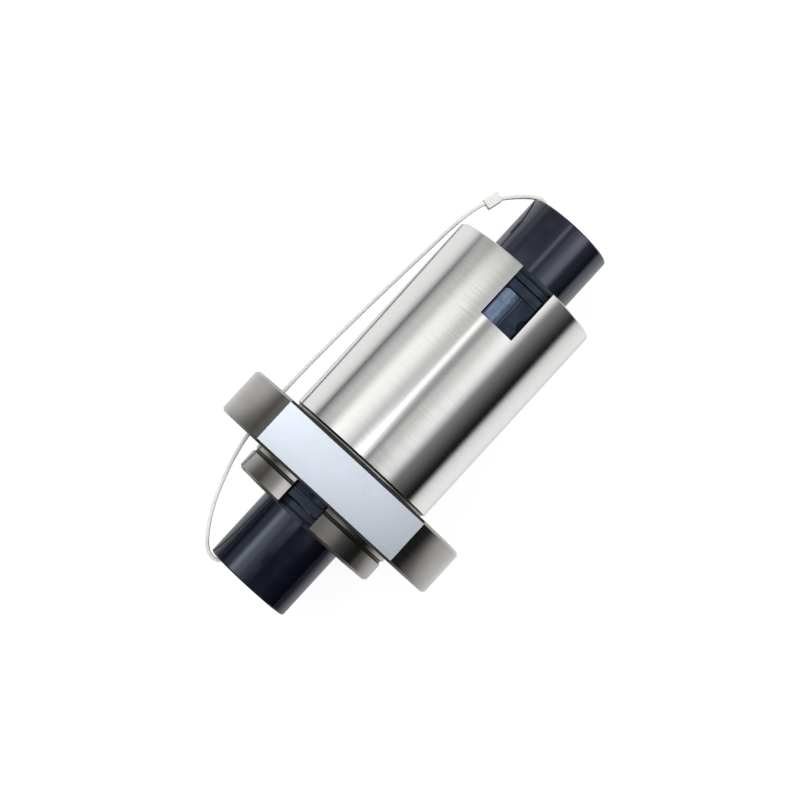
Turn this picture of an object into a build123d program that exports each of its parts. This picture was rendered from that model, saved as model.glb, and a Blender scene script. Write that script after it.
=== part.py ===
from build123d import *
import math
import os

os.makedirs("parts", exist_ok=True)

# Flanged ball nut on its assembly arbor, held by a nylon tie, in millimetres.
# The screw axis is X. X = 0 is the flange's mounting face and +X runs along the long barrel.
# +Z is the outward normal of the flange's upper flat.

# Ball circuit, left-hand, for a screw of nominal size 32
lead = 20.0
ball_diameter = 3.969
ball_circle_diameter = 32.6
land_bore_diameter = 32.2
whole_turns = 4
ball_play = 0.065
ball_spacing_gap = 0.13
return_radius = 21.0
return_bend_radius = 5.0
return_line_angle = 0.75
slot_offset_angle = 7.35

# Nut body
barrel_diameter = 50.0
flange_diameter = 80.0
flange_thickness = 15.5
flats_width = 62.0
collar_length = 8.8
edge_chamfer = 0.8
barrel_end_chamfer = 0.3
undercut_radius = 0.8
undercut_setback = 0.7
undercut_rise = 0.1
collar_groove_radius = 0.6
collar_groove_setback = 1.85
pickup_inset = 10.55

# Flange bolt holes, six on one circle, three each side between the flats
bolt_hole_diameter = 9.0
bolt_hole_rim = 3.0
bolt_hole_step = 30.0

# Slots for the ball deflectors, open at the nut's ends
slot_width = 12.0
slot_reach = 7.5
slot_tunnel_height = 0.2
slot_bore_overlap = 3.0
deflector_side_play = 0.05
deflector_top_play = 0.5
deflector_wall = 1.05
deflector_ledge_height = 22.3
dome_offset = 0.4
dome_end_gap = 0.5
dome_corner_radius = 1.4
end_plate_length = 2.8
end_plate_radius = 23.8
relief_radius = 2.5
relief_overhang = 0.8
relief_setback = 2.4
relief_depth = 1.6
rib_width = 0.35
rib_height = 0.3
mark_groove_width = 0.4
mark_groove_depth = 0.4
mark_groove_length = 4.0
mark_groove_inset = 0.6
guide_rib_width = 1.2
guide_rib_depth = 0.8
guide_rib_height = 19.3

# Wipers, one in each end of the nut
wiper_length = 3.8
wiper_seat_diameter = 41.0
wiper_seat_play = 0.1
wiper_lip_play = 0.07
wiper_lip_length = 1.4
wiper_lip_taper = 1.2
wiper_face_opening = 1.2
rear_wiper_stand = 0.6
front_wiper_stand = 0.2
deflector_wiper_gap = 0.65
wiper_split_width = 0.6
wiper_notch_width = 2.7
wiper_notch_depth = 1.5
spring_wire_diameter = 0.6
spring_groove_play = 0.05
spring_groove_inset = 1.55
wiper_screw_diameter = 3.0
wiper_screw_length = 4.0
wiper_screw_inset = 2.6
hex_socket_width = 1.5
hex_socket_depth = 1.4
screw_play = 0.02

# Grease port in the lower flat, closed by a plug
port_diameter = 8.0
port_depth = 9.0
port_drill_diameter = 4.0
port_countersink = 0.5
plug_length = 7.5
plug_recess = 0.4
plug_slot_width = 1.2
plug_slot_depth = 1.5

# Assembly arbor, a plain plastic tube
arbor_diameter = 28.1
arbor_wall = 3.05
arbor_length = 140.5
arbor_front_overhang = 23.6
arbor_edge_chamfer = 0.4

# Nylon tie, a flat strap through the arbor and one flange hole
tie_thickness = 1.1
tie_width = 2.5
tie_bore_gap = 0.45
tie_end_gap = 0.75
tie_head_length = 4.8
tie_head_height = 3.6
tie_head_width = 4.4
tie_head_drop = 0.7
tie_end_radius = 1.8
tie_head_radius = 1.2
tie_arch_radius_limit = 400.0
tie_arch_share = 0.45

# Corners of the tie's centre line: how far along X, and how far out from the surface or edge named
tie_rises_from_arbor = [(0.0, 1.1), (6.2, 5.9), (12.5, 9.3), (18.4, 11.5)]
tie_rise_from_collar = (-0.7, 2.2)
tie_rises_from_hole_edge = [(-15.5, 1.3), (2.0, 2.3)]
tie_rises_from_barrel = [(20.0, 4.8), (40.0, 3.7), (58.0, 2.4)]
tie_rise_from_barrel_end = (1.5, 1.35)
tie_head_from_barrel_end = (11.5, -1.2)
tie_rise_at_arbor_end = 0.1

# How far cutting shapes run past the faces that they open
overrun = 1.0

# Sizes and places that follow from those above
barrel_radius = barrel_diameter / 2
ball_radius = ball_diameter / 2
ball_circle = ball_circle_diameter / 2
land_radius = land_bore_diameter / 2
groove_radius = ball_radius + ball_play
arbor_radius = arbor_diameter / 2
bolt_circle = flange_diameter / 2 - bolt_hole_rim - bolt_hole_diameter / 2
pickup_angle = math.degrees(math.acos(ball_circle / return_radius))
half_sweep = 180 * whole_turns - pickup_angle
half_circuit = lead * half_sweep / 360
front_end = -flange_thickness - collar_length
middle = front_end + half_circuit + pickup_inset
rear_end = 2 * middle - front_end
rear_pickup = middle + half_circuit
mean_wiper_stand = (rear_wiper_stand + front_wiper_stand) / 2
deflector_end = rear_end - wiper_length + mean_wiper_stand - deflector_wiper_gap
slot_end = rear_pickup - slot_reach
lead_angle = math.degrees(math.atan(lead / (math.pi * ball_circle_diameter)))
tangent_length = math.sqrt(return_radius**2 - ball_circle**2)
return_corner = rear_pickup + tangent_length * math.tan(math.radians(lead_angle))
duct_y = return_radius * math.sin(math.radians(slot_offset_angle))
duct_z = return_radius * math.cos(math.radians(slot_offset_angle))
dome_radius = groove_radius + deflector_wall + dome_offset
arbor_front = front_end - arbor_front_overhang
arbor_rear = arbor_front + arbor_length
arbor_bore_radius = arbor_radius - arbor_wall


def rod(radius, start, end, y=0.0, z=0.0):
    """A round bar along X, from start to end."""
    return extrude(Plane.YZ.offset(start) * Pos(y, z) * Circle(radius), end - start)


def post(radius, length, x, y, z):
    """A round bar that stands on z at x, y."""
    return Pos(x, y, z + length / 2) * Cylinder(radius, length)


def block(x_range, y_range, z_range):
    """A box between two corners."""
    size = [high - low for low, high in (x_range, y_range, z_range)]
    centre = [(high + low) / 2 for low, high in (x_range, y_range, z_range)]
    return Pos(*centre) * Box(*size)


def turned(piece):
    """The piece at the other end of the nut, half a turn about the upright line at mid-length."""
    return Pos(2 * middle, 0, 0) * Rot(Z=180) * piece


def at_return_line(piece):
    """The ball circuit leans a little, so that its return line matches the slots."""
    return Rot(X=-return_line_angle) * piece


def at_slot(piece):
    """A piece built under +Z, brought to the rear slot."""
    return Rot(X=slot_offset_angle) * piece


def revolved(points):
    """A ring or shaft turned about X from (x, radius) points."""
    profile = Plane.XY * make_face(Polyline(*points, close=True))
    return revolve(profile, Axis.X, 360)


def ball_helix():
    """Centre line of the balls from the nut's middle to the rear pick-up, left-hand about +X."""
    spiral = Helix(lead, half_circuit, ball_circle, lefthand=True)
    return Plane.YZ.offset(middle) * Rot(Z=90 + 180 * whole_turns) * spiral


def half_loop():
    """Centre line of the rear half of the ball loop: helix, straight tangent, bend, return line."""
    helix = ball_helix()
    corner = (return_corner, 0, return_radius)
    mid = (middle, 0, return_radius)
    bent = FilletPolyline(helix @ 1, corner, mid, radius=return_bend_radius)
    return [helix.edge()] + list(bent.edges().sort_by_distance(helix @ 1))


def rear_channel():
    """Groove and tube that the balls run in, for the rear half of the loop."""
    path = Wire(half_loop())
    section = Plane(origin=path @ 0, z_dir=path % 0) * Circle(groove_radius)
    return sweep(section, path)


def deflector_slot():
    """The milled slot in the rear end: open outwards in the barrel and down to the bore."""
    top = barrel_radius + slot_tunnel_height
    half = slot_width / 2
    slot = block((slot_end, rear_end + overrun), (-half, half), (land_radius - slot_bore_overlap, top))
    return at_slot(slot + guide_ribs(slot_end, rear_end, deflector_side_play))


def guide_ribs(start, end, play):
    """Ribs along both sides of a deflector, or with play the grooves that they slide in."""
    half = slot_width / 2 + guide_rib_depth + play
    height = guide_rib_width / 2 + play
    return block((start, end), (-half, half), (guide_rib_height - height, guide_rib_height + height))


def nut_barrel():
    """Barrel and collar as one turning, with their end chamfers."""
    return revolved([
        (front_end, 0),
        (front_end, barrel_radius - edge_chamfer),
        (front_end + edge_chamfer, barrel_radius),
        (rear_end - barrel_end_chamfer, barrel_radius),
        (rear_end, barrel_radius - barrel_end_chamfer),
        (rear_end, 0),
    ])


def ring(x, radius, thickness_radius):
    """A round ring about the screw axis, which cuts a round-bottomed groove."""
    return Pos(x, 0, 0) * Rot(Y=90) * Torus(radius, thickness_radius)


def flange():
    """Round flange with two flats, chamfered rims and six bolt holes."""
    disc = rod(flange_diameter / 2, -flange_thickness, 0)
    half = flange_diameter / 2
    flat = flats_width / 2
    plate = disc & block((-flange_thickness, 0), (-half, half), (-flat, flat))
    rims = plate.faces().sort_by(Axis.X)
    plate = chamfer(rims[0].edges() + rims[-1].edges(), edge_chamfer)
    for side in (0, 180):
        for step in (-bolt_hole_step, 0, bolt_hole_step):
            angle = math.radians(side + step)
            y = bolt_circle * math.cos(angle)
            z = bolt_circle * math.sin(angle)
            plate -= rod(bolt_hole_diameter / 2, -flange_thickness, 0, y, z)
    return plate


def grease_port():
    """Tapped port in the lower flat with a drilling on to the balls."""
    flat = -flats_width / 2
    centre = -flange_thickness / 2
    port = post(port_diameter / 2, port_depth, centre, 0, flat)
    drill = post(port_drill_diameter / 2, -flat - land_radius + overrun, centre, 0, flat)
    mouth = Cone(port_diameter / 2 + port_countersink, port_diameter / 2, port_countersink)
    return port + drill + Pos(centre, 0, flat + port_countersink / 2) * mouth


def wiper_screw_hole(x):
    """Radial tapped hole under the nut that holds a wiper's set screw."""
    length = barrel_radius - wiper_seat_diameter / 2 + 2 * overrun
    return post(wiper_screw_diameter / 2, length, x, 0, -barrel_radius - overrun)


def wiper_screw_place():
    """Where the rear wiper's screw stands along X."""
    return rear_end - wiper_screw_inset + rear_wiper_stand


def nut_body():
    """The hardened and ground steel nut."""
    body = flange() + nut_barrel()
    body -= ring(undercut_setback, barrel_radius + undercut_rise, undercut_radius)
    body -= ring(-flange_thickness - collar_groove_setback, barrel_radius, collar_groove_radius)
    body -= rod(land_radius, front_end, rear_end)
    body -= rod(wiper_seat_diameter / 2, rear_end - wiper_length + rear_wiper_stand, rear_end)
    body -= rod(wiper_seat_diameter / 2, front_end, front_end + wiper_length - front_wiper_stand)
    channel = rear_channel()
    slot = deflector_slot()
    for cut in (channel, turned(channel), slot, turned(slot)):
        body -= at_return_line(cut)
    body -= grease_port()
    screw_hole = wiper_screw_hole(wiper_screw_place())
    body -= screw_hole
    body -= turned(screw_hole)
    return body


def deflector_envelope():
    """Deflector under +Z: a ledge, a dome over the duct with a rib at its foot, an end plate, guide ribs."""
    half = slot_width / 2 - deflector_side_play
    start = slot_end + deflector_side_play
    shoulder = guide_rib_height + guide_rib_width / 2
    plate_start = deflector_end - end_plate_length
    shape = block((start, deflector_end), (-half, half), (land_radius - slot_bore_overlap, shoulder))
    shape += guide_ribs(start, deflector_end, 0)
    shape += deflector_room(start, deflector_end, shoulder, deflector_ledge_height)
    plate = rod(end_plate_radius, plate_start, deflector_end)
    shape += plate & deflector_room(plate_start, deflector_end, shoulder, barrel_radius)
    shape += deflector_dome(start, plate_start - dome_end_gap, shoulder)
    rib_y = duct_y + dome_offset - dome_radius - rib_width
    rib_top = deflector_ledge_height + rib_height
    shape += block((start, plate_start - dome_end_gap), (rib_y, rib_y + rib_width), (shoulder, rib_top))
    return shape - relief_notch() - mark_groove()


def deflector_room(start, end, low, high):
    """What the upper part of a deflector may fill, narrower than the slot."""
    half = slot_width / 2 - deflector_top_play
    return block((start, end), (-half, half), (low, high))


def deflector_dome(start, end, shoulder):
    """Bulge over the balls' duct, with a flat end whose corner at the slot's wall is rounded."""
    room = deflector_room(start, end, shoulder, barrel_radius)
    corner = room.edges().filter_by(Axis.Z).group_by(Axis.X)[-1].sort_by(Axis.Y)[-1]
    return rod(dome_radius, start, end, duct_y + dome_offset, duct_z) & fillet(corner, dome_corner_radius)


def relief_notch():
    """Half-round relief in the ledge beside the slot's wall."""
    x = rear_pickup - relief_setback
    y = -slot_width / 2 - relief_overhang
    return post(relief_radius, relief_depth + overrun, x, y, deflector_ledge_height - relief_depth)


def mark_groove():
    """Short moulded groove of even depth across part of the end plate."""
    start = deflector_end - end_plate_length + mark_groove_inset
    end = start + mark_groove_width
    y = -slot_width / 2
    cut = block((start, end), (y, y + mark_groove_length), (duct_z, barrel_radius))
    return cut - rod(end_plate_radius - mark_groove_depth, start, end)


def deflector_parting(above):
    """Room on one side of the deflector's parting surface, which follows the ball path."""
    slope = math.tan(math.radians(pickup_angle - slot_offset_angle))
    reach = slot_width
    low = duct_z - slope * (reach + duct_y)
    edge = flange_diameter / 2 if above else 0
    points = [(-reach, low), (duct_y, duct_z), (reach, duct_z), (reach, edge), (-reach, edge)]
    face = Plane.YZ.offset(slot_end - overrun) * make_face(Polyline(*points, close=True))
    return extrude(face, deflector_end - slot_end + 2 * overrun)


def deflector_half(above):
    """Cover or base of the rear deflector, with the ball channel through it."""
    half = at_slot(deflector_envelope() & deflector_parting(above))
    half -= rear_channel()
    half -= rod(land_radius, slot_end - overrun, deflector_end + overrun)
    return half


def wiper(stand):
    """Split plastic wiper in the rear end, with a lip on the arbor and a groove for its spring."""
    inner = rear_end + stand - wiper_length
    outer = rear_end + stand
    lip = arbor_radius + wiper_lip_play
    rim = wiper_seat_diameter / 2 - wiper_seat_play
    lip_start = inner + wiper_lip_taper
    groove = outer - spring_groove_inset
    half_groove = spring_wire_diameter / 2 + spring_groove_play
    floor = rim - spring_wire_diameter - 2 * spring_groove_play
    ring = revolved([
        (inner, land_radius),
        (lip_start, lip),
        (lip_start + wiper_lip_length, lip),
        (outer, lip + wiper_face_opening),
        (outer, rim),
        (groove + half_groove, rim),
        (groove + half_groove, floor),
        (groove - half_groove, floor),
        (groove - half_groove, rim),
        (inner, rim),
    ])
    past = outer + overrun
    notch = block((groove, past), (0, wiper_notch_width), (rim - wiper_notch_depth, rim + overrun))
    half_split = wiper_split_width / 2
    split = block((inner - overrun, past), (-barrel_radius, 0), (-half_split, half_split))
    return ring - notch - split


def wiper_spring(stand):
    """Round wire ring that closes the split wiper."""
    rim = wiper_seat_diameter / 2 - wiper_seat_play
    radius = rim - spring_wire_diameter / 2 - spring_groove_play
    groove = rear_end + stand - spring_groove_inset
    return Pos(groove, 0, 0) * Rot(Y=90) * Torus(radius, spring_wire_diameter / 2)


def wiper_screw():
    """Set screw under the rear end, with a hexagon socket."""
    x = wiper_screw_place()
    low = -wiper_seat_diameter / 2 - wiper_screw_length
    shank = post(wiper_screw_diameter / 2 - screw_play, wiper_screw_length, x, 0, low)
    socket = extrude(RegularPolygon(hex_socket_width / 2, 6, major_radius=False), hex_socket_depth)
    return shank - Pos(x, 0, low) * socket


def grease_plug():
    """Slotted plastic plug, a little below the lower flat."""
    x = -flange_thickness / 2
    low = -flats_width / 2 + plug_recess
    plug = post(port_diameter / 2 - screw_play, plug_length, x, 0, low)
    return plug - Pos(x, 0, low) * Box(port_diameter, plug_slot_width, 2 * plug_slot_depth)


def ball_groups():
    """Every ball of the loop, sorted by the stretch of the path that it lies on."""
    edges = half_loop()
    path = Wire(edges)
    helix_length = edges[0].length
    bend_length = edges[1].length + edges[2].length
    count = 2 * int(path.length / (ball_diameter + ball_spacing_gap))
    spacing = 2 * path.length / count
    groups = {}
    for index in range(-count // 2 + 1, count // 2 + 1):
        distance = abs(index) * spacing
        place = path.position_at(distance, position_mode=PositionMode.LENGTH)
        ball = Pos(place) * Sphere(ball_radius)
        if index < 0:
            ball = turned(ball)
        if distance <= helix_length:
            share = (index * spacing / helix_length + 1) / 2
            turn = min(int(share * whole_turns), whole_turns - 1)
            name = f"balls_turn_{turn + 1}"
        elif distance <= helix_length + bend_length:
            name = "rear_deflector_balls" if index > 0 else "front_deflector_balls"
        else:
            name = "return_balls"
        groups.setdefault(name, []).append(at_return_line(ball))
    return groups


def arbor():
    """Smooth plastic tube that keeps the balls in while the nut is off its screw."""
    cut = arbor_edge_chamfer
    return revolved([
        (arbor_front, arbor_bore_radius),
        (arbor_front, arbor_radius - cut),
        (arbor_front + cut, arbor_radius),
        (arbor_rear - cut, arbor_radius),
        (arbor_rear, arbor_radius - cut),
        (arbor_rear, arbor_bore_radius),
    ])


def tie_route():
    """Corners of the tie's centre line in the plane Z = 0, from the arbor's front end round to it."""
    half = tie_thickness / 2
    inside = arbor_bore_radius - tie_bore_gap - half
    front = arbor_front - tie_end_gap - half
    rear = arbor_rear + tie_end_gap + half
    route = [(front, inside)]
    route += [(front + x, arbor_radius + rise) for x, rise in tie_rises_from_arbor]
    route += [(front_end + tie_rise_from_collar[0], barrel_radius + tie_rise_from_collar[1])]
    hole_edge = max(bolt_circle - bolt_hole_diameter / 2, barrel_radius)
    route += [(x, hole_edge + rise) for x, rise in tie_rises_from_hole_edge]
    route += [(x, barrel_radius + rise) for x, rise in tie_rises_from_barrel]
    for x, rise in (tie_rise_from_barrel_end, tie_head_from_barrel_end):
        route.append((rear_end + x, barrel_radius + rise))
    route += [(rear, arbor_radius + tie_rise_at_arbor_end), (rear, inside)]
    return [Vector(point) for point in route]


def tie_radii(route):
    """A radius for each corner: tight at the arbor's ends and the head, as wide as fits elsewhere."""
    radii = [tie_end_radius, tie_end_radius]
    for before, point, after in zip(route[1:-4], route[2:-3], route[3:-2]):
        first = point - before
        second = after - point
        bend = math.radians(first.get_angle(second)) / 2
        shorter = min(first.length, second.length)
        radii.append(min(tie_arch_share * shorter / math.tan(bend), tie_arch_radius_limit))
    return radii + [tie_head_radius, tie_end_radius, tie_end_radius]


def retaining_tie():
    """Closed nylon cable tie, with its head where the loop turns down to the arbor's rear end."""
    route = tie_route()
    loop = Wire(FilletPolyline(*route, radius=tie_radii(route), close=True).edges())
    band = Face(loop.offset_2d(tie_thickness / 2)) - Face(loop.offset_2d(-tie_thickness / 2))
    strap = extrude(band, tie_width / 2, both=True)
    corner = route[-3]
    arriving = corner - route[-4]
    lean = math.degrees(math.atan2(arriving.Y, arriving.X))
    head = Pos(0, -tie_head_drop, 0) * Box(tie_head_length, tie_head_height, tie_head_width)
    return strap + Pos(corner) * Rot(Z=lean) * head


def save(name, piece):
    """Write one node."""
    export_step(piece, f"parts/{name}.step")


save("nut_body", nut_body())
for name, above in (("cover", True), ("base", False)):
    half = deflector_half(above)
    save(f"rear_deflector_{name}", at_return_line(half))
    save(f"front_deflector_{name}", at_return_line(turned(half)))
save("rear_wiper", wiper(rear_wiper_stand))
save("front_wiper", turned(wiper(front_wiper_stand)))
save("rear_wiper_spring", wiper_spring(rear_wiper_stand))
save("front_wiper_spring", turned(wiper_spring(front_wiper_stand)))
save("rear_wiper_screw", wiper_screw())
save("front_wiper_screw", turned(wiper_screw()))
save("grease_plug", grease_plug())
for name, balls in ball_groups().items():
    save(name, Compound(balls))
save("arbor", arbor())
save("retaining_tie", retaining_tie())
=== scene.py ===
import math

import bmesh
import bpy
from mathutils import Matrix, Vector


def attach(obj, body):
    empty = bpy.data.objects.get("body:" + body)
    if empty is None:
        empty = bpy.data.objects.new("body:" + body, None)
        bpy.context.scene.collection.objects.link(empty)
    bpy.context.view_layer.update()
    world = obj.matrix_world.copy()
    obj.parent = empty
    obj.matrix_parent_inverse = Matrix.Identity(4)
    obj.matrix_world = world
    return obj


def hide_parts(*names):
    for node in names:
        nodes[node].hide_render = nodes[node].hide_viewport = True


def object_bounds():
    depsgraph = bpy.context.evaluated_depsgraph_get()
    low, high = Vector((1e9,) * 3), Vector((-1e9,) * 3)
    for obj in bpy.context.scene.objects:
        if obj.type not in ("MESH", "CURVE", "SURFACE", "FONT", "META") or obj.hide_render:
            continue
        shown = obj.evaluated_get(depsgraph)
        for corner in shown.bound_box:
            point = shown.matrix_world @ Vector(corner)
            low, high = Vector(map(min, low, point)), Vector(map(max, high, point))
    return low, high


# Flanged ball nut on its assembly arbor, in metres. X is the screw axis, X = 0 the flange's mounting face,
# and +Z the outward normal of the flange's upper flat.
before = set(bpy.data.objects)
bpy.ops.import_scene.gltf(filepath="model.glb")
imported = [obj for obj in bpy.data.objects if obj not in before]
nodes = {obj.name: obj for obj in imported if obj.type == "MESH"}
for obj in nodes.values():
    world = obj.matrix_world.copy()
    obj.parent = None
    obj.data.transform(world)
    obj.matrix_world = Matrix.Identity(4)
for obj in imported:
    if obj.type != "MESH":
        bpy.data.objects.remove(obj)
cad_low, cad_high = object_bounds()
mm = 0.001


# Nut body: bearing steel, turned and hardened, then ground on the barrel, the faces and the two flats.
# The flange's rim and the collar stay as they were turned, so they are darker and duller.
# The undercut behind the flange and the collar's groove are painted dark as painted shade, and made rougher;
# a paler painted line along the undercut's bottom is a painted highlight.
flange_back = -15.5 * mm
flats_height = cad_high.z
flats_skin = 0.05 * mm
rim_radius = cad_high.y - 1.1 * mm
groove_radius = 24.94 * mm
undercut_middle, undercut_half = 0.7 * mm, 0.79 * mm
bottom_highlight_middle, bottom_highlight_half = 0.72 * mm, 0.2 * mm
collar_groove_middle, collar_groove_half = -17.35 * mm, 0.59 * mm
# Painted shade in the grooves, and the painted highlight line along the undercut's bottom: middle and half
# width along X, and the colour painted there.
shaded_grooves = (
    (undercut_middle, undercut_half, (0.06, 0.058, 0.055, 1)),
    (bottom_highlight_middle, bottom_highlight_half, (0.40, 0.39, 0.38, 1)),
    (collar_groove_middle, collar_groove_half, (0.08, 0.078, 0.075, 1)),
)
edge_break = 0.12 * mm
noise_range = (0.3, 0.7)
ground_colours = ((0.74, 0.735, 0.725, 1), (0.70, 0.695, 0.69, 1))
ground_roughness = (0.10, 0.14)
grinding_depth = 0.0004 * mm
# The flats' colours are paler and bluer than the ground steel: a painted reflection, clouded at random.
flat_colours = ((0.705, 0.765, 0.86, 1), (0.82, 0.868, 0.945, 1))
flat_roughness = (0.12, 0.15)
flat_sheen_range = (0.35, 0.68)
turned_colours = ((0.31, 0.30, 0.285, 1), (0.36, 0.345, 0.325, 1))
turned_dulling = 0.08
groove_dulling = 0.25


def blank(name):
    """An empty material and its node tree."""
    material = bpy.data.materials.new(name)
    material.use_nodes = True
    material.node_tree.nodes.clear()
    return material, material.node_tree


def add(tree, kind, feeds=None, out=0, **settings):
    """Adds a node, sets it up, feeds its inputs by name or number, and gives back one of its outputs."""
    node = tree.nodes.new(kind)
    for key, value in settings.items():
        setattr(node, key, value)
    for key, value in (feeds or {}).items():
        if isinstance(value, bpy.types.NodeSocket):
            tree.links.new(value, node.inputs[key])
        else:
            node.inputs[key].default_value = value
    return node.outputs[out] if node.outputs else node


def maths(tree, operation, first, second=0.0):
    """One sum on two numbers or sockets."""
    return add(tree, "ShaderNodeMath", {0: first, 1: second}, operation=operation)


def product(tree, first, *others):
    """Numbers or sockets multiplied together."""
    for other in others:
        first = maths(tree, "MULTIPLY", first, other)
    return first


def ramp(tree, value, low, high, start=0.0, end=1.0):
    """A soft step of value from low to high, as start to end."""
    feeds = {"Value": value, "From Min": low, "From Max": high, "To Min": start, "To Max": end}
    return add(tree, "ShaderNodeMapRange", feeds, interpolation_type="SMOOTHSTEP")


def spread(tree, value, start=0.0, end=1.0):
    """The range that noise mostly keeps to, as start to end."""
    return ramp(tree, value, *noise_range, start, end)


def within(tree, value, middle, reach):
    """1 where a value lies within reach of the middle, and 0 elsewhere."""
    gap = maths(tree, "ABSOLUTE", maths(tree, "SUBTRACT", value, middle))
    return maths(tree, "LESS_THAN", gap, reach)


def blend(tree, share, first, second):
    """Two numbers mixed by a share."""
    return add(tree, "ShaderNodeMix", {0: share, 2: first, 3: second})


def blend_colour(tree, share, first, second):
    """Two colours mixed by a share."""
    return add(tree, "ShaderNodeMix", {0: share, 6: first, 7: second}, out=2, data_type="RGBA")


def noise(tree, vector, scale, detail=2.0, roughness=0.5):
    """Even noise between 0 and 1, centred on 0.5."""
    feeds = {"Vector": vector, "Scale": scale, "Detail": detail, "Roughness": roughness}
    return add(tree, "ShaderNodeTexNoise", feeds)


def object_place(tree):
    """Object coordinates."""
    return add(tree, "ShaderNodeTexCoord", out="Object")


def parts_of(tree, vector):
    """A vector's three numbers."""
    split = tree.nodes.new("ShaderNodeSeparateXYZ")
    tree.links.new(vector, split.inputs[0])
    return split.outputs


def from_axis(tree, y, z):
    """Distance from the screw axis."""
    return maths(tree, "SQRT", maths(tree, "ADD", product(tree, y, y), product(tree, z, z)))


def tool_lines(tree, x, y, z, packing, scale, detail):
    """Noise packed along the axis and outwards, so that it runs round as a lathe or a grinding wheel cuts."""
    lay = maths(tree, "ADD", x, from_axis(tree, y, z))
    packed = add(tree, "ShaderNodeCombineXYZ", {0: product(tree, lay, packing), 1: y, 2: z})
    return noise(tree, packed, scale, detail, roughness=0.6)


def bump(tree, height, depth):
    """Surface relief of a real depth, over edges broken by a small radius."""
    eased = add(tree, "ShaderNodeBevel", {"Radius": edge_break}, samples=4)
    return add(tree, "ShaderNodeBump", {"Height": height, "Distance": depth, "Normal": eased})


def finish_surface(material, feeds):
    """Ends a material in one surface shader."""
    tree = material.node_tree
    shader = add(tree, "ShaderNodeBsdfPrincipled", feeds)
    add(tree, "ShaderNodeOutputMaterial", {0: shader})
    return material


def nut_steel():
    """Ground steel with dull turned zones, grooves in painted shade, and flats painted paler and bluer as a
    clouded painted reflection.
    """
    material, tree = blank("nut_steel")
    place = object_place(tree)
    x, y, z = parts_of(tree, place)
    radius = from_axis(tree, y, z)
    flat = maths(tree, "GREATER_THAN", maths(tree, "ABSOLUTE", z), flats_height - flats_skin)
    outermost = maths(tree, "GREATER_THAN", radius, rim_radius)
    rim = product(tree, outermost, maths(tree, "SUBTRACT", 1.0, flat))
    collar = maths(tree, "LESS_THAN", x, flange_back)
    turned = maths(tree, "MAXIMUM", rim, collar)

    grind = tool_lines(tree, x, y, z, packing=40.0, scale=90.0, detail=4.0)
    cloud = noise(tree, place, scale=260.0, detail=4.0, roughness=0.55)
    patches = noise(tree, place, scale=70.0)

    ground = blend_colour(tree, spread(tree, grind), *ground_colours)
    flat_sheen = blend_colour(tree, ramp(tree, cloud, *flat_sheen_range), *flat_colours)
    dull = blend_colour(tree, spread(tree, patches), *turned_colours)
    colour = blend_colour(tree, flat, ground, flat_sheen)
    colour = blend_colour(tree, turned, colour, dull)
    sunk = maths(tree, "LESS_THAN", radius, groove_radius)
    in_groove = 0.0
    # Each groove takes its painted shade, or the painted highlight line, and is made rougher.
    for middle, half_width, shade in shaded_grooves:
        groove = product(tree, within(tree, x, middle, half_width), sunk)
        colour = blend_colour(tree, groove, colour, shade)
        in_groove = maths(tree, "MAXIMUM", in_groove, groove)

    rough = spread(tree, grind, *ground_roughness)
    rough = maths(tree, "ADD", rough, product(tree, turned, turned_dulling))
    rough = blend(tree, flat, rough, spread(tree, cloud, *flat_roughness))
    rough = maths(tree, "ADD", rough, product(tree, in_groove, groove_dulling))
    return finish_surface(material, {
        "Base Color": colour,
        "Metallic": 1.0,
        "Roughness": rough,
        "Normal": bump(tree, grind, grinding_depth),
    })


def paint(mesh, material):
    """One material over a whole mesh."""
    mesh.materials.clear()
    mesh.materials.append(material)
    mesh.polygons.foreach_set("material_index", [0] * len(mesh.polygons))


def dress(name, material):
    """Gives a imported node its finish."""
    paint(nodes[name].data, material)


dress("nut_body", nut_steel())


# Ball deflectors: two moulded halves in each end, dark blue-grey engineering plastic with a satin skin.
# They slide into the slots on ribs and the wipers hold them in. The rear dome is a lit copy of the plastic,
# painted brighter and bluer and made shinier, and a pale painted highlight runs along one edge of its foot.
nut_middle = 24.08 * mm
dome_end = 65.3 * mm
dome_radius = 23.0 * mm
foot_line = -2.85 * mm
foot_width = 0.22 * mm
foot_low = 22.0 * mm
moulded_colours = ((0.013, 0.016, 0.025, 1), (0.020, 0.024, 0.036, 1))
moulded_roughness = (0.30, 0.38)
moulded_depth = 0.004 * mm
# Painted highlight: the pale line along the rear dome's foot.
foot_highlight_colour = (0.135, 0.155, 0.195, 1)
# Painted light: the rear dome's lit copy is brighter and bluer than the moulded plastic.
lit_dome_colours = ((0.034, 0.049, 0.082, 1), (0.084, 0.110, 0.162, 1))
lit_dome_roughness = (0.38, 0.28)
lit_dome_depth = 0.003 * mm
blue_sheen = (0.52, 0.70, 1.0, 1)
plastic_index = 2.0
skin_grain = {"scale": 5200.0, "detail": 3.0, "roughness": 0.6}


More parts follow.
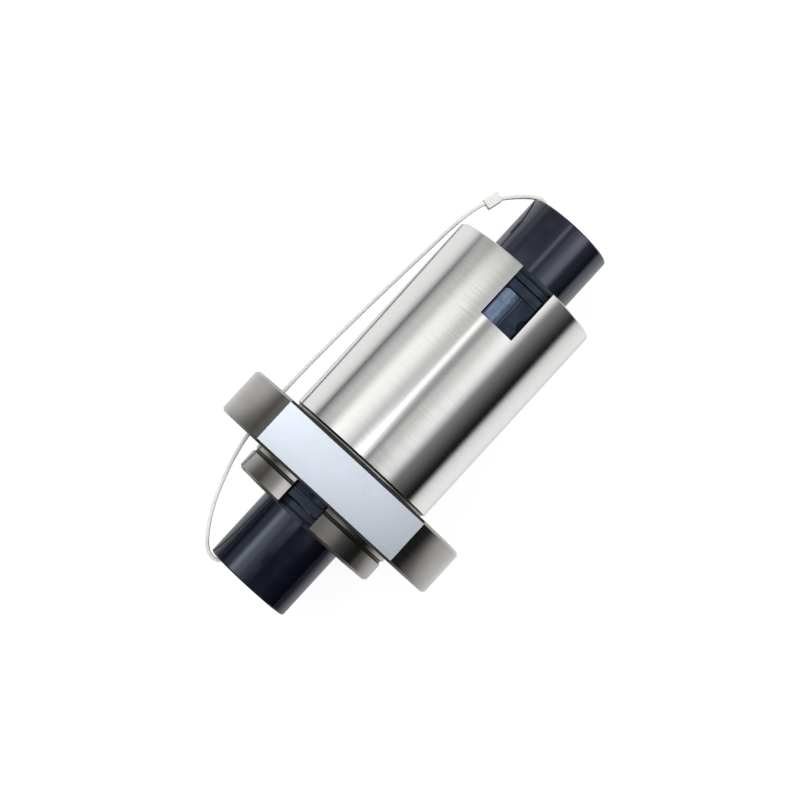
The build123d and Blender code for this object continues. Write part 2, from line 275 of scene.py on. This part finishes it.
def deflector_plastic():
    """Moulded plastic with a fine skin grain and a painted highlight line along the rear dome's foot."""
    material, tree = blank("deflector_plastic")
    place = object_place(tree)
    x, y, z = parts_of(tree, place)
    grain = noise(tree, place, **skin_grain)
    flow = noise(tree, place, scale=300.0)
    past_middle = maths(tree, "GREATER_THAN", x, nut_middle)
    before_end = maths(tree, "LESS_THAN", x, dome_end)
    above_ledge = maths(tree, "GREATER_THAN", z, foot_low)
    # Painted highlight along the rear dome's foot, between the nut's middle and the dome's end.
    foot_highlight = product(tree, within(tree, y, foot_line, foot_width / 2), past_middle, before_end, above_ledge)
    colour = blend_colour(tree, spread(tree, flow), *moulded_colours)
    return finish_surface(material, {
        "Base Color": blend_colour(tree, foot_highlight, colour, foot_highlight_colour),
        "Roughness": spread(tree, flow, *moulded_roughness),
        "IOR": plastic_index,
        "Specular IOR Level": 0.08,
        "Specular Tint": blue_sheen,
        "Normal": bump(tree, grain, moulded_depth),
    })


def lit_dome_plastic():
    """The same plastic as a lit copy, painted brighter and bluer and made shinier, mottled at random."""
    material, tree = blank("deflector_lit_dome")
    place = object_place(tree)
    grain = noise(tree, place, **skin_grain)
    dome_mottle = noise(tree, place, scale=650.0, detail=3.0, roughness=0.6)
    return finish_surface(material, {
        "Base Color": blend_colour(tree, spread(tree, dome_mottle), *lit_dome_colours),
        "Roughness": spread(tree, dome_mottle, *lit_dome_roughness),
        "IOR": plastic_index,
        "Specular IOR Level": 0.88,
        "Specular Tint": blue_sheen,
        "Normal": bump(tree, grain, lit_dome_depth),
    })


plastic = deflector_plastic()
for end in ("rear", "front"):
    for half in ("cover", "base"):
        dress(f"{end}_deflector_{half}", plastic)
# The rear cover's outer faces take the lit copy, painted light.
rear_cover = nodes["rear_deflector_cover"].data
rear_cover.materials.append(lit_dome_plastic())
for face in rear_cover.polygons:
    if math.hypot(face.center.y, face.center.z) > dome_radius and face.center.x < dome_end:
        face.material_index = 1


# Wipers: split rings machined from dark plastic, one in each end, closed by a drawn wire ring in a groove
# and held by a black set screw from below.
wiper_colours = ((0.012, 0.015, 0.022, 1), (0.019, 0.023, 0.032, 1))
wiper_roughness = (0.20, 0.34)
wiper_depth = 0.004 * mm
# The wire is coloured near black: painted shade, as dark as the groove it lies in.
wire_colours = ((0.032, 0.038, 0.052, 1), (0.055, 0.063, 0.082, 1))
wire_roughness = (0.22, 0.34)
wire_depth = 0.002 * mm
oxide_colours = ((0.030, 0.030, 0.033, 1), (0.11, 0.11, 0.115, 1))
oxide_roughness = (0.32, 0.45)
oxide_wear = (0.5, 0.75)
oxide_depth = 0.004 * mm


def wiper_plastic():
    """Machined plastic with fine tool rings."""
    material, tree = blank("wiper_plastic")
    x, y, z = parts_of(tree, object_place(tree))
    tool = tool_lines(tree, x, y, z, packing=25.0, scale=110.0, detail=3.0)
    return finish_surface(material, {
        "Base Color": blend_colour(tree, spread(tree, tool), *wiper_colours),
        "Roughness": spread(tree, tool, *wiper_roughness),
        "IOR": 1.42,
        "Specular Tint": (0.66, 0.80, 1.0, 1),
        "Normal": bump(tree, tool, wiper_depth),
    })


def drawn_wire():
    """Drawn spring wire coloured near black, a painted shade as dark as its groove, a little uneven in tone.
    """
    material, tree = blank("spring_steel")
    draw = noise(tree, object_place(tree), scale=2400.0)
    return finish_surface(material, {
        "Base Color": blend_colour(tree, draw, *wire_colours),
        "Metallic": 1.0,
        "Roughness": spread(tree, draw, *wire_roughness),
        "Normal": bump(tree, draw, wire_depth),
    })


def black_oxide():
    """Blackened screw steel, a little worn."""
    material, tree = blank("screw_steel")
    worn = noise(tree, object_place(tree), scale=1800.0, detail=4.0, roughness=0.6)
    return finish_surface(material, {
        "Base Color": blend_colour(tree, ramp(tree, worn, *oxide_wear), *oxide_colours),
        "Metallic": 0.7,
        "Roughness": spread(tree, worn, *oxide_roughness),
        "Normal": bump(tree, worn, oxide_depth),
    })


wiper_finish = wiper_plastic()
wire_finish = drawn_wire()
screw_finish = black_oxide()
for end in ("rear", "front"):
    dress(f"{end}_wiper", wiper_finish)
    dress(f"{end}_wiper_spring", wire_finish)
    dress(f"{end}_wiper_screw", screw_finish)


# Grease plug: moulded plastic, plain dark grey.
# It is screwed into the grease port in the lower flat until a fitting takes its place.
plug_colours = ((0.040, 0.040, 0.044, 1), (0.062, 0.062, 0.067, 1))
plug_roughness = (0.38, 0.48)
plug_depth = 0.006 * mm


def plug_plastic():
    """Moulded plastic with a fine grain."""
    material, tree = blank("plug_plastic")
    grain = noise(tree, object_place(tree), scale=3800.0, detail=3.0, roughness=0.6)
    return finish_surface(material, {
        "Base Color": blend_colour(tree, grain, *plug_colours),
        "Roughness": spread(tree, grain, *plug_roughness),
        "Normal": bump(tree, grain, plug_depth),
    })


dress("grease_plug", plug_plastic())


# Balls: lapped bearing steel with a film of oil.
# They fill the groove's turns, the two deflectors and the return duct.
ball_colours = ((0.80, 0.80, 0.82, 1), (0.88, 0.88, 0.90, 1))
ball_roughness = (0.04, 0.08)


def ball_steel():
    """Mirror steel under a thin film of oil."""
    material, tree = blank("ball_steel")
    film = noise(tree, object_place(tree), scale=900.0)
    return finish_surface(material, {
        "Base Color": blend_colour(tree, film, *ball_colours),
        "Metallic": 1.0,
        "Roughness": spread(tree, film, *ball_roughness),
    })


ball_finish = ball_steel()
for name in nodes:
    if "balls" in name:
        dress(name, ball_finish)


# Assembly arbor: an extruded tube of glossy black plastic, cut square at both ends.
# It keeps the balls in while the nut is off its screw, and slides and turns in the nut.
arbor_colours = ((0.0016, 0.0024, 0.0058, 1), (0.0030, 0.0041, 0.0088, 1))
arbor_roughness = (0.08, 0.13)
arbor_depth = 0.0005 * mm
draw_stretch = 0.05


def arbor_plastic():
    """Glossy black plastic with faint draw marks along the tube and a thin uneven film of oil."""
    material, tree = blank("arbor_plastic")
    place = object_place(tree)
    x, y, z = parts_of(tree, place)
    stretched = add(tree, "ShaderNodeCombineXYZ", {0: product(tree, x, draw_stretch), 1: y, 2: z})
    draw = noise(tree, stretched, scale=1500.0, detail=3.0, roughness=0.6)
    film = noise(tree, place, scale=120.0, detail=3.0, roughness=0.55)
    return finish_surface(material, {
        "Base Color": blend_colour(tree, film, *arbor_colours),
        "Roughness": spread(tree, film, *arbor_roughness),
        "IOR": 1.78,
        "Specular Tint": (0.72, 0.79, 1.0, 1),
        "Normal": bump(tree, draw, arbor_depth),
    })


dress("arbor", arbor_plastic())


# Retaining tie: one nylon cable tie, moulded flat with a ladder of teeth sunk in its inner face.
# It goes through the arbor's bore and one bolt hole of the flange, and its head locks it where it turns
# down to the rear end. Its corners are X and Y in mm, in the plane Z = 0.
strap_width = 2.5 * mm
strap_thickness = 1.1 * mm
strap_corner = 0.32 * mm
corner_steps = 3
channel_width = 1.4 * mm
channel_depth = 0.3 * mm
tooth_pitch = 1.1 * mm
tooth_size = 0.22 * mm
tooth_sides = 3
route_step = 0.7 * mm
before_head = (73.96, 26.35)
head_corner = (83.96, 23.8)
tie_corners = [
    (-49.2, 10.0), (-49.2, 15.15), (-43.0, 19.95), (-36.7, 23.35), (-30.8, 25.55), (-25.0, 27.55),
    (-15.5, 29.5), (2.0, 30.3), (20.0, 29.8), (40.0, 28.7), (58.0, 27.4), before_head, head_corner,
    (93.9, 14.15), (93.9, 10.0), (89.5, 10.0), (22.0, 10.0), (-44.8, 10.0),
]
nylon_colours = ((0.65, 0.65, 0.635, 1), (0.70, 0.70, 0.685, 1))
nylon_roughness = (0.42, 0.52)
nylon_depth = 0.004 * mm
soak_depth = 0.6 * mm


def tie_nylon():
    """Natural nylon: milky, light soaks a little way in, with faint clouds from the moulding."""
    material, tree = blank("tie_nylon")
    place = object_place(tree)
    milk = noise(tree, place, scale=420.0, detail=3.0, roughness=0.55)
    grain = noise(tree, place, scale=4200.0)
    return finish_surface(material, {
        "Base Color": blend_colour(tree, milk, *nylon_colours),
        "Roughness": spread(tree, milk, *nylon_roughness),
        "IOR": 1.4,
        "Specular IOR Level": 0.1,
        "Subsurface Weight": 0.6,
        "Subsurface Radius": (1.0, 1.0, 0.9),
        "Subsurface Scale": soak_depth,
        "Normal": bump(tree, grain, nylon_depth),
    })


def strap_tree(material):
    """Sweeps the section along the route and sets a tooth at every pitch in its channel."""
    tree = bpy.data.node_groups.new("strap", "GeometryNodeTree")
    sockets = tree.interface
    sockets.new_socket("Geometry", in_out="INPUT", socket_type="NodeSocketGeometry")
    sockets.new_socket("Section", in_out="INPUT", socket_type="NodeSocketObject")
    for name in ("Channel floor", "Channel width", "Tooth pitch", "Tooth size"):
        sockets.new_socket(name, in_out="INPUT", socket_type="NodeSocketFloat")
    sockets.new_socket("Geometry", in_out="OUTPUT", socket_type="NodeSocketGeometry")
    given = tree.nodes.new("NodeGroupInput").outputs
    even = {"Curve": given["Geometry"], "Length": route_step}
    route = add(tree, "GeometryNodeResampleCurve", even, mode="LENGTH")
    route = add(tree, "GeometryNodeSetCurveNormal", {"Curve": route}, mode="Z_UP")
    section = add(tree, "GeometryNodeObjectInfo", {"Object": given["Section"]}, out="Geometry")
    swept = {"Curve": route, "Profile Curve": section, "Fill Caps": False}
    band = add(tree, "GeometryNodeCurveToMesh", swept)
    band = add(tree, "GeometryNodeSetShadeSmooth", {"Geometry": band})

    wedge = {"Vertices": tooth_sides, "Radius": given["Tooth size"], "Depth": given["Channel width"]}
    tooth = add(tree, "GeometryNodeMeshCylinder", wedge)
    spaced = tree.nodes.new("GeometryNodeCurveToPoints")
    spaced.mode = "LENGTH"
    tree.links.new(route, spaced.inputs["Curve"])
    tree.links.new(given["Tooth pitch"], spaced.inputs["Length"])
    inward = {0: spaced.outputs["Normal"], "Scale": given["Channel floor"]}
    shift = add(tree, "ShaderNodeVectorMath", inward, operation="SCALE")
    seats = add(tree, "GeometryNodeSetPosition", {"Geometry": spaced.outputs["Points"], "Offset": shift})
    heading = {"Vector": spaced.outputs["Tangent"]}
    facing = add(tree, "FunctionNodeAlignRotationToVector", heading, axis="X", pivot_axis="Z")
    ladder = {"Points": seats, "Instance": tooth, "Rotation": facing}
    teeth = add(tree, "GeometryNodeInstanceOnPoints", ladder)
    joined = tree.nodes.new("GeometryNodeJoinGeometry")
    tree.links.new(band, joined.inputs[0])
    tree.links.new(teeth, joined.inputs[0])
    solid = add(tree, "GeometryNodeRealizeInstances", {"Geometry": joined.outputs[0]})
    painted = add(tree, "GeometryNodeSetMaterial", {"Geometry": solid, "Material": material})
    tree.links.new(painted, tree.nodes.new("NodeGroupOutput").inputs[0])
    return tree


def link_object(name, data):
    """A new object in the scene, at the origin."""
    thing = bpy.data.objects.new(name, data)
    bpy.context.scene.collection.objects.link(thing)
    return thing


def strap_section():
    """The strap's outline across: rounded corners, and the teeth's channel in the inner face."""
    half, deep, side = strap_width / 2, strap_thickness / 2, channel_width / 2
    points = []
    for x_sign, y_sign, first in ((1, 1, 0), (-1, 1, 90), (-1, -1, 180), (1, -1, 270)):
        centre = Vector((x_sign * (deep - strap_corner), y_sign * (half - strap_corner)))
        for step in range(corner_steps + 1):
            angle = math.radians(first + 90 * step / corner_steps)
            points.append(centre + strap_corner * Vector((math.cos(angle), math.sin(angle))))
    floor_x = deep - channel_depth
    points += [Vector((deep, -side)), Vector((floor_x, -side)), Vector((floor_x, side)), Vector((deep, side))]
    outline = bpy.data.curves.new("strap_section", "CURVE")
    outline.dimensions = "3D"
    spline = outline.splines.new("POLY")
    spline.points.add(len(points) - 1)
    for point, place in zip(spline.points, points):
        point.co = (place.x, place.y, 0, 1)
    spline.use_cyclic_u = True
    return link_object("strap_section", outline)


def tie_route():
    """The closed centre line, smooth through its corners."""
    curve = bpy.data.curves.new("tie_route", "CURVE")
    curve.dimensions = "3D"
    curve.resolution_u = 16
    spline = curve.splines.new("NURBS")
    spline.points.add(len(tie_corners) - 1)
    for point, (x, y) in zip(spline.points, tie_corners):
        point.co = (x * mm, y * mm, 0, 1)
    spline.order_u = 3
    spline.use_cyclic_u = True
    return link_object("tie_route", curve)


def plain_mesh(maker, name, material):
    """The evaluated object as a plain mesh of its own in one material, in place of the one that made it."""
    bpy.context.view_layer.update()
    depsgraph = bpy.context.evaluated_depsgraph_get()
    mesh = bpy.data.meshes.new_from_object(maker.evaluated_get(depsgraph))
    mesh.name = name
    paint(mesh, material)
    piece = link_object(name, mesh)
    bpy.data.objects.remove(maker)
    return piece


def set_inputs(modifier, values):
    """Sets a tree's inputs by their names, through the sockets' identifiers."""
    sockets = {s.name: s.identifier for s in modifier.node_group.interface.items_tree if s.in_out == "INPUT"}
    for name, value in values.items():
        modifier[sockets[name]] = value


nylon = tie_nylon()
section = strap_section()
route = tie_route()
strap_maker = route.modifiers.new("strap", "NODES")
strap_maker.node_group = strap_tree(nylon)
set_inputs(strap_maker, {
    "Section": section,
    "Channel floor": strap_thickness / 2 - channel_depth,
    "Channel width": channel_width,
    "Tooth pitch": tooth_pitch,
    "Tooth size": tooth_size,
})
strap = plain_mesh(route, "tie_strap", nylon)
bpy.data.objects.remove(section)
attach(strap, "tie")
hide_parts("retaining_tie")


# The tie's head, moulded in one with the strap: a rounded block with the slot that the tail went through.
# The tail is cut off flush inside the slot.
head_length = 4.8 * mm
head_height = 3.6 * mm
head_width = 4.4 * mm
head_drop = 0.7 * mm
head_round = 0.55 * mm
round_steps = 3
slot_wall = 0.85 * mm
slot_depth = 0.9 * mm
tail_sunk = 0.35 * mm


def tie_head():
    """Block with a rimmed slot in its outer face and the tail's cut end in the slot."""
    form = bmesh.new()
    bmesh.ops.create_cube(form, size=1.0, matrix=Matrix.Diagonal((head_length, head_height, head_width, 1)))
    outer = max(form.faces, key=lambda face: face.calc_center_median().y)
    bmesh.ops.inset_region(form, faces=[outer], thickness=slot_wall)
    bmesh.ops.translate(form, verts=outer.verts, vec=(0, -slot_depth, 0))
    tail = Matrix.Translation((0, head_height / 2 - tail_sunk - slot_depth / 2, 0))
    tail = tail @ Matrix.Diagonal((strap_thickness, slot_depth, strap_width, 1))
    bmesh.ops.create_cube(form, size=1.0, matrix=tail)
    seat = Vector((*head_corner, 0)) * mm
    lean_x, lean_y = head_corner[0] - before_head[0], head_corner[1] - before_head[1]
    turn = Matrix.Rotation(math.atan2(lean_y, lean_x), 4, "Z")
    form.transform(Matrix.Translation(seat) @ turn @ Matrix.Translation((0, -head_drop, 0)))
    mesh = bpy.data.meshes.new("tie_head")
    form.to_mesh(mesh)
    form.free()
    mesh.shade_smooth()
    holder = link_object("tie_head_form", mesh)
    rounding = holder.modifiers.new("round", "BEVEL")
    rounding.width = head_round
    rounding.segments = round_steps
    rounding.limit_method = "ANGLE"
    rounding.harden_normals = True
    return plain_mesh(holder, "tie_head", nylon)


head = tie_head()
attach(head, "tie")


# Floor: a plain white sheet that the nut lies on, and it keeps the object's soft shadow. For what shines in
# the steel it glows as a painted pool of light whose far parts grow darker, brighter on the high side, with a
# painted shadow in a band under the nut; diffuse rays see part of the glow as painted bounce light.
floor_reach = 0.75
floor_paint = (0.24, 0.24, 0.24, 1)
floor_glow = 0.82
bounce_share = 0.35
near_share = 0.95
far_share = 0.12
high_side_gain = 0.30
fade_range = (0.02, 0.50)
high_side_range = (0.0, 0.10)
barrel_side_range = (-0.03, 0.02)
front_range = (-0.035, 0.0)
front_haste = 3.2
shadow_band_range = (0.025, 0.055)
shadow_band_share = 0.72


def floor_sheet():
    """A white sheet, partly lit from within for the camera and for what shines."""
    material, tree = blank("white_sheet")
    place = object_place(tree)
    x, y, z = parts_of(tree, place)
    distance = add(tree, "ShaderNodeVectorMath", {0: place}, out="Value", operation="LENGTH")
    distance = product(tree, distance, ramp(tree, x, *front_range, front_haste, 1.0))
    lit_side = product(tree, ramp(tree, y, *high_side_range), ramp(tree, x, *barrel_side_range))
    far_level = maths(tree, "ADD", product(tree, lit_side, high_side_gain), far_share)
    fade = ramp(tree, distance, *fade_range, near_share, far_level)
    # Painted shadow: what shines sees the sheet darker in a band along under the nut.
    shadow_band = ramp(tree, maths(tree, "ABSOLUTE", y), *shadow_band_range, shadow_band_share, 1.0)
    fade = product(tree, fade, shadow_band)
    light = tree.nodes.new("ShaderNodeLightPath").outputs
    seen = maths(tree, "MAXIMUM", light["Is Camera Ray"], light["Is Transmission Ray"])
    shining = product(tree, light["Is Glossy Ray"], fade)
    bounced = product(tree, light["Is Diffuse Ray"], bounce_share)
    strength = maths(tree, "MAXIMUM", maths(tree, "MAXIMUM", seen, shining), bounced)
    strength = product(tree, strength, floor_glow)
    glow = add(tree, "ShaderNodeEmission", {"Color": (1, 1, 1, 1), "Strength": strength})
    shown = maths(tree, "MAXIMUM", maths(tree, "SUBTRACT", 1.0, light["Is Glossy Ray"]), fade)
    sheet_colour = blend_colour(tree, shown, (0, 0, 0, 1), floor_paint)
    sheet = add(tree, "ShaderNodeBsdfDiffuse", {"Color": sheet_colour})
    both = add(tree, "ShaderNodeAddShader", {0: glow, 1: sheet})
    add(tree, "ShaderNodeOutputMaterial", {0: both})
    return material


sheet_mesh = bpy.data.meshes.new("floor")
middle_x = (cad_low.x + cad_high.x) / 2
corners = [(middle_x + i * floor_reach, j * floor_reach, 0) for i, j in ((-1, -1), (1, -1), (1, 1), (-1, 1))]
sheet_mesh.from_pydata(corners, [], [(0, 1, 2, 3)])
sheet_mesh.materials.append(floor_sheet())
floor = link_object("floor", sheet_mesh)
floor.location.z = -flats_height


# Studio: white all round for the camera, an even soft light for plain surfaces, and soft strip lights that
# run along the nut for what shines, with a plain graded sky far off at both ends. Turns are degrees from
# straight above towards +Y. Along is the direction's X, and its edges part what each piece shows.
plain_light = 0.62
front_arbor_edge = (-0.030, -0.015)
collar_edge = (-0.030, 0.020)
flange_edge = (-0.017, 0.019)
flat_start = (-0.026, -0.012)
flat_end = (0.026, 0.046)
barrel_edge = (0.123, 0.141)
sky_heights = (-0.05, 0.9)
sky_levels = (0.03, 1.0)
sky_edge = (0.30, 0.75)


def studio():
    """The world's light by direction."""
    world = bpy.data.worlds.new("studio")
    world.use_nodes = True
    tree = world.node_tree
    tree.nodes.clear()
    along, side, up = parts_of(tree, add(tree, "ShaderNodeTexCoord", out="Generated"))
    turn = maths(tree, "DEGREES", maths(tree, "ARCTAN2", side, up))

    def strip(level, rise, fall, start=None, end=None):
        """Soft strip light that rises over one span of turns and falls over another, between two Xs."""
        share = product(tree, ramp(tree, turn, *rise), ramp(tree, turn, *fall, 1.0, 0.0))
        if start:
            share = product(tree, share, ramp(tree, along, *start))
        if end:
            share = product(tree, share, ramp(tree, along, *end, 1.0, 0.0))
        return product(tree, share, level)

    strips = [
        # A faint light all round, and a fill over the flange and the barrel.
        strip(0.04, (-92, -30), (84, 100)),
        strip(0.34, (-94, -30), (84, 100), start=flange_edge, end=barrel_edge),
        # The low side, in a band with a soft shoulder.
        strip(0.38, (-56, -40), (-34, -14), start=flange_edge),
        strip(0.38, (-57, -41), (-14, -4), start=flange_edge),
        # The narrow line along the crown.
        strip(1.05, (0, 6.5), (8.5, 14), start=collar_edge),
        # The high side, wide and soft with a brighter middle.
        strip(0.35, (8, 16), (72, 92), end=barrel_edge),
        strip(0.54, (19, 42), (51, 70), end=barrel_edge),
        # The flat.
        strip(1.10, (-5, 0.5), (12, 22), start=flat_start, end=flat_end),
        # The arbor's front end, and one line that runs on over the collar.
        strip(0.32, (14, 32), (42, 56), end=front_arbor_edge),
        strip(1.3, (40, 52), (54, 64), end=collar_edge),
        # The arbor's rear end: its fill, its middle, its low side and its upper edge.
        strip(0.22, (-104, -54), (84, 100), start=barrel_edge),
        strip(0.18, (-60, -30), (15, 32), start=barrel_edge),
        strip(0.75, (-60, -42), (-36, -14), start=barrel_edge),
        strip(0.45, (70, 90), (150, 170), start=barrel_edge),
    ]
    beam = strips[0]
    for part in strips[1:]:
        beam = maths(tree, "ADD", beam, part)
    sky = ramp(tree, up, *sky_heights, *sky_levels)
    far = ramp(tree, maths(tree, "ABSOLUTE", along), *sky_edge)
    light = tree.nodes.new("ShaderNodeLightPath").outputs
    strength = blend(tree, light["Is Glossy Ray"], plain_light, blend(tree, far, beam, sky))
    clear = maths(tree, "MAXIMUM", light["Is Camera Ray"], light["Is Transmission Ray"])
    strength = blend(tree, clear, strength, 1.0)
    glow = add(tree, "ShaderNodeBackground", {"Color": (1, 1, 1, 1), "Strength": strength})
    add(tree, "ShaderNodeOutputWorld", {0: glow})
    bpy.context.scene.world = world


studio()


# Lamps: two soft boxes above, one each side of the axis.
# They light plain surfaces only and stay hidden from what shines.
object_middle = Vector((22 * mm, 0, 0))
box_size = 0.5


def soft_box(name, place, power):
    """A square lamp that points at the object."""
    lamp = bpy.data.lights.new(name, "AREA")
    lamp.size = box_size
    lamp.energy = power
    holder = link_object(name, lamp)
    holder.location = place
    holder.rotation_euler = (Vector(place) - object_middle).to_track_quat("Z", "Y").to_euler()
    holder.visible_glossy = False


soft_box("high_lamp", place=(0.05, 0.45, 0.75), power=5.0)
soft_box("low_lamp", place=(0.10, -0.60, 0.60), power=3.0)


# Camera: it stands above the nut's front end and looks down at the upper flat.
# It is turned so that the screw axis rises to the right.
camera_place = Vector((-11.8, 0, 650)) * mm
camera_aim = Vector((21.82, 3.29, 0)) * mm
axis_rise = math.radians(47.41)

ahead = (camera_aim - camera_place).normalized()
level = Vector((1, 0, 0))
level = (level - level.dot(ahead) * ahead).normalized()
across = (-ahead).cross(level)
right_edge = math.cos(axis_rise) * level - math.sin(axis_rise) * across
top_edge = math.sin(axis_rise) * level + math.cos(axis_rise) * across
facing = Matrix((right_edge, top_edge, -ahead)).transposed().to_4x4()
camera_data = bpy.data.cameras.new("camera")
camera_data.lens = 99.6
camera_data.sensor_width = 36
camera_data.clip_start = 0.01
camera_data.clip_end = 20
camera = link_object("camera", camera_data)
camera.matrix_world = Matrix.Translation(camera_place) @ facing
bpy.context.scene.camera = camera
bpy.context.scene.view_settings.view_transform = "Standard"
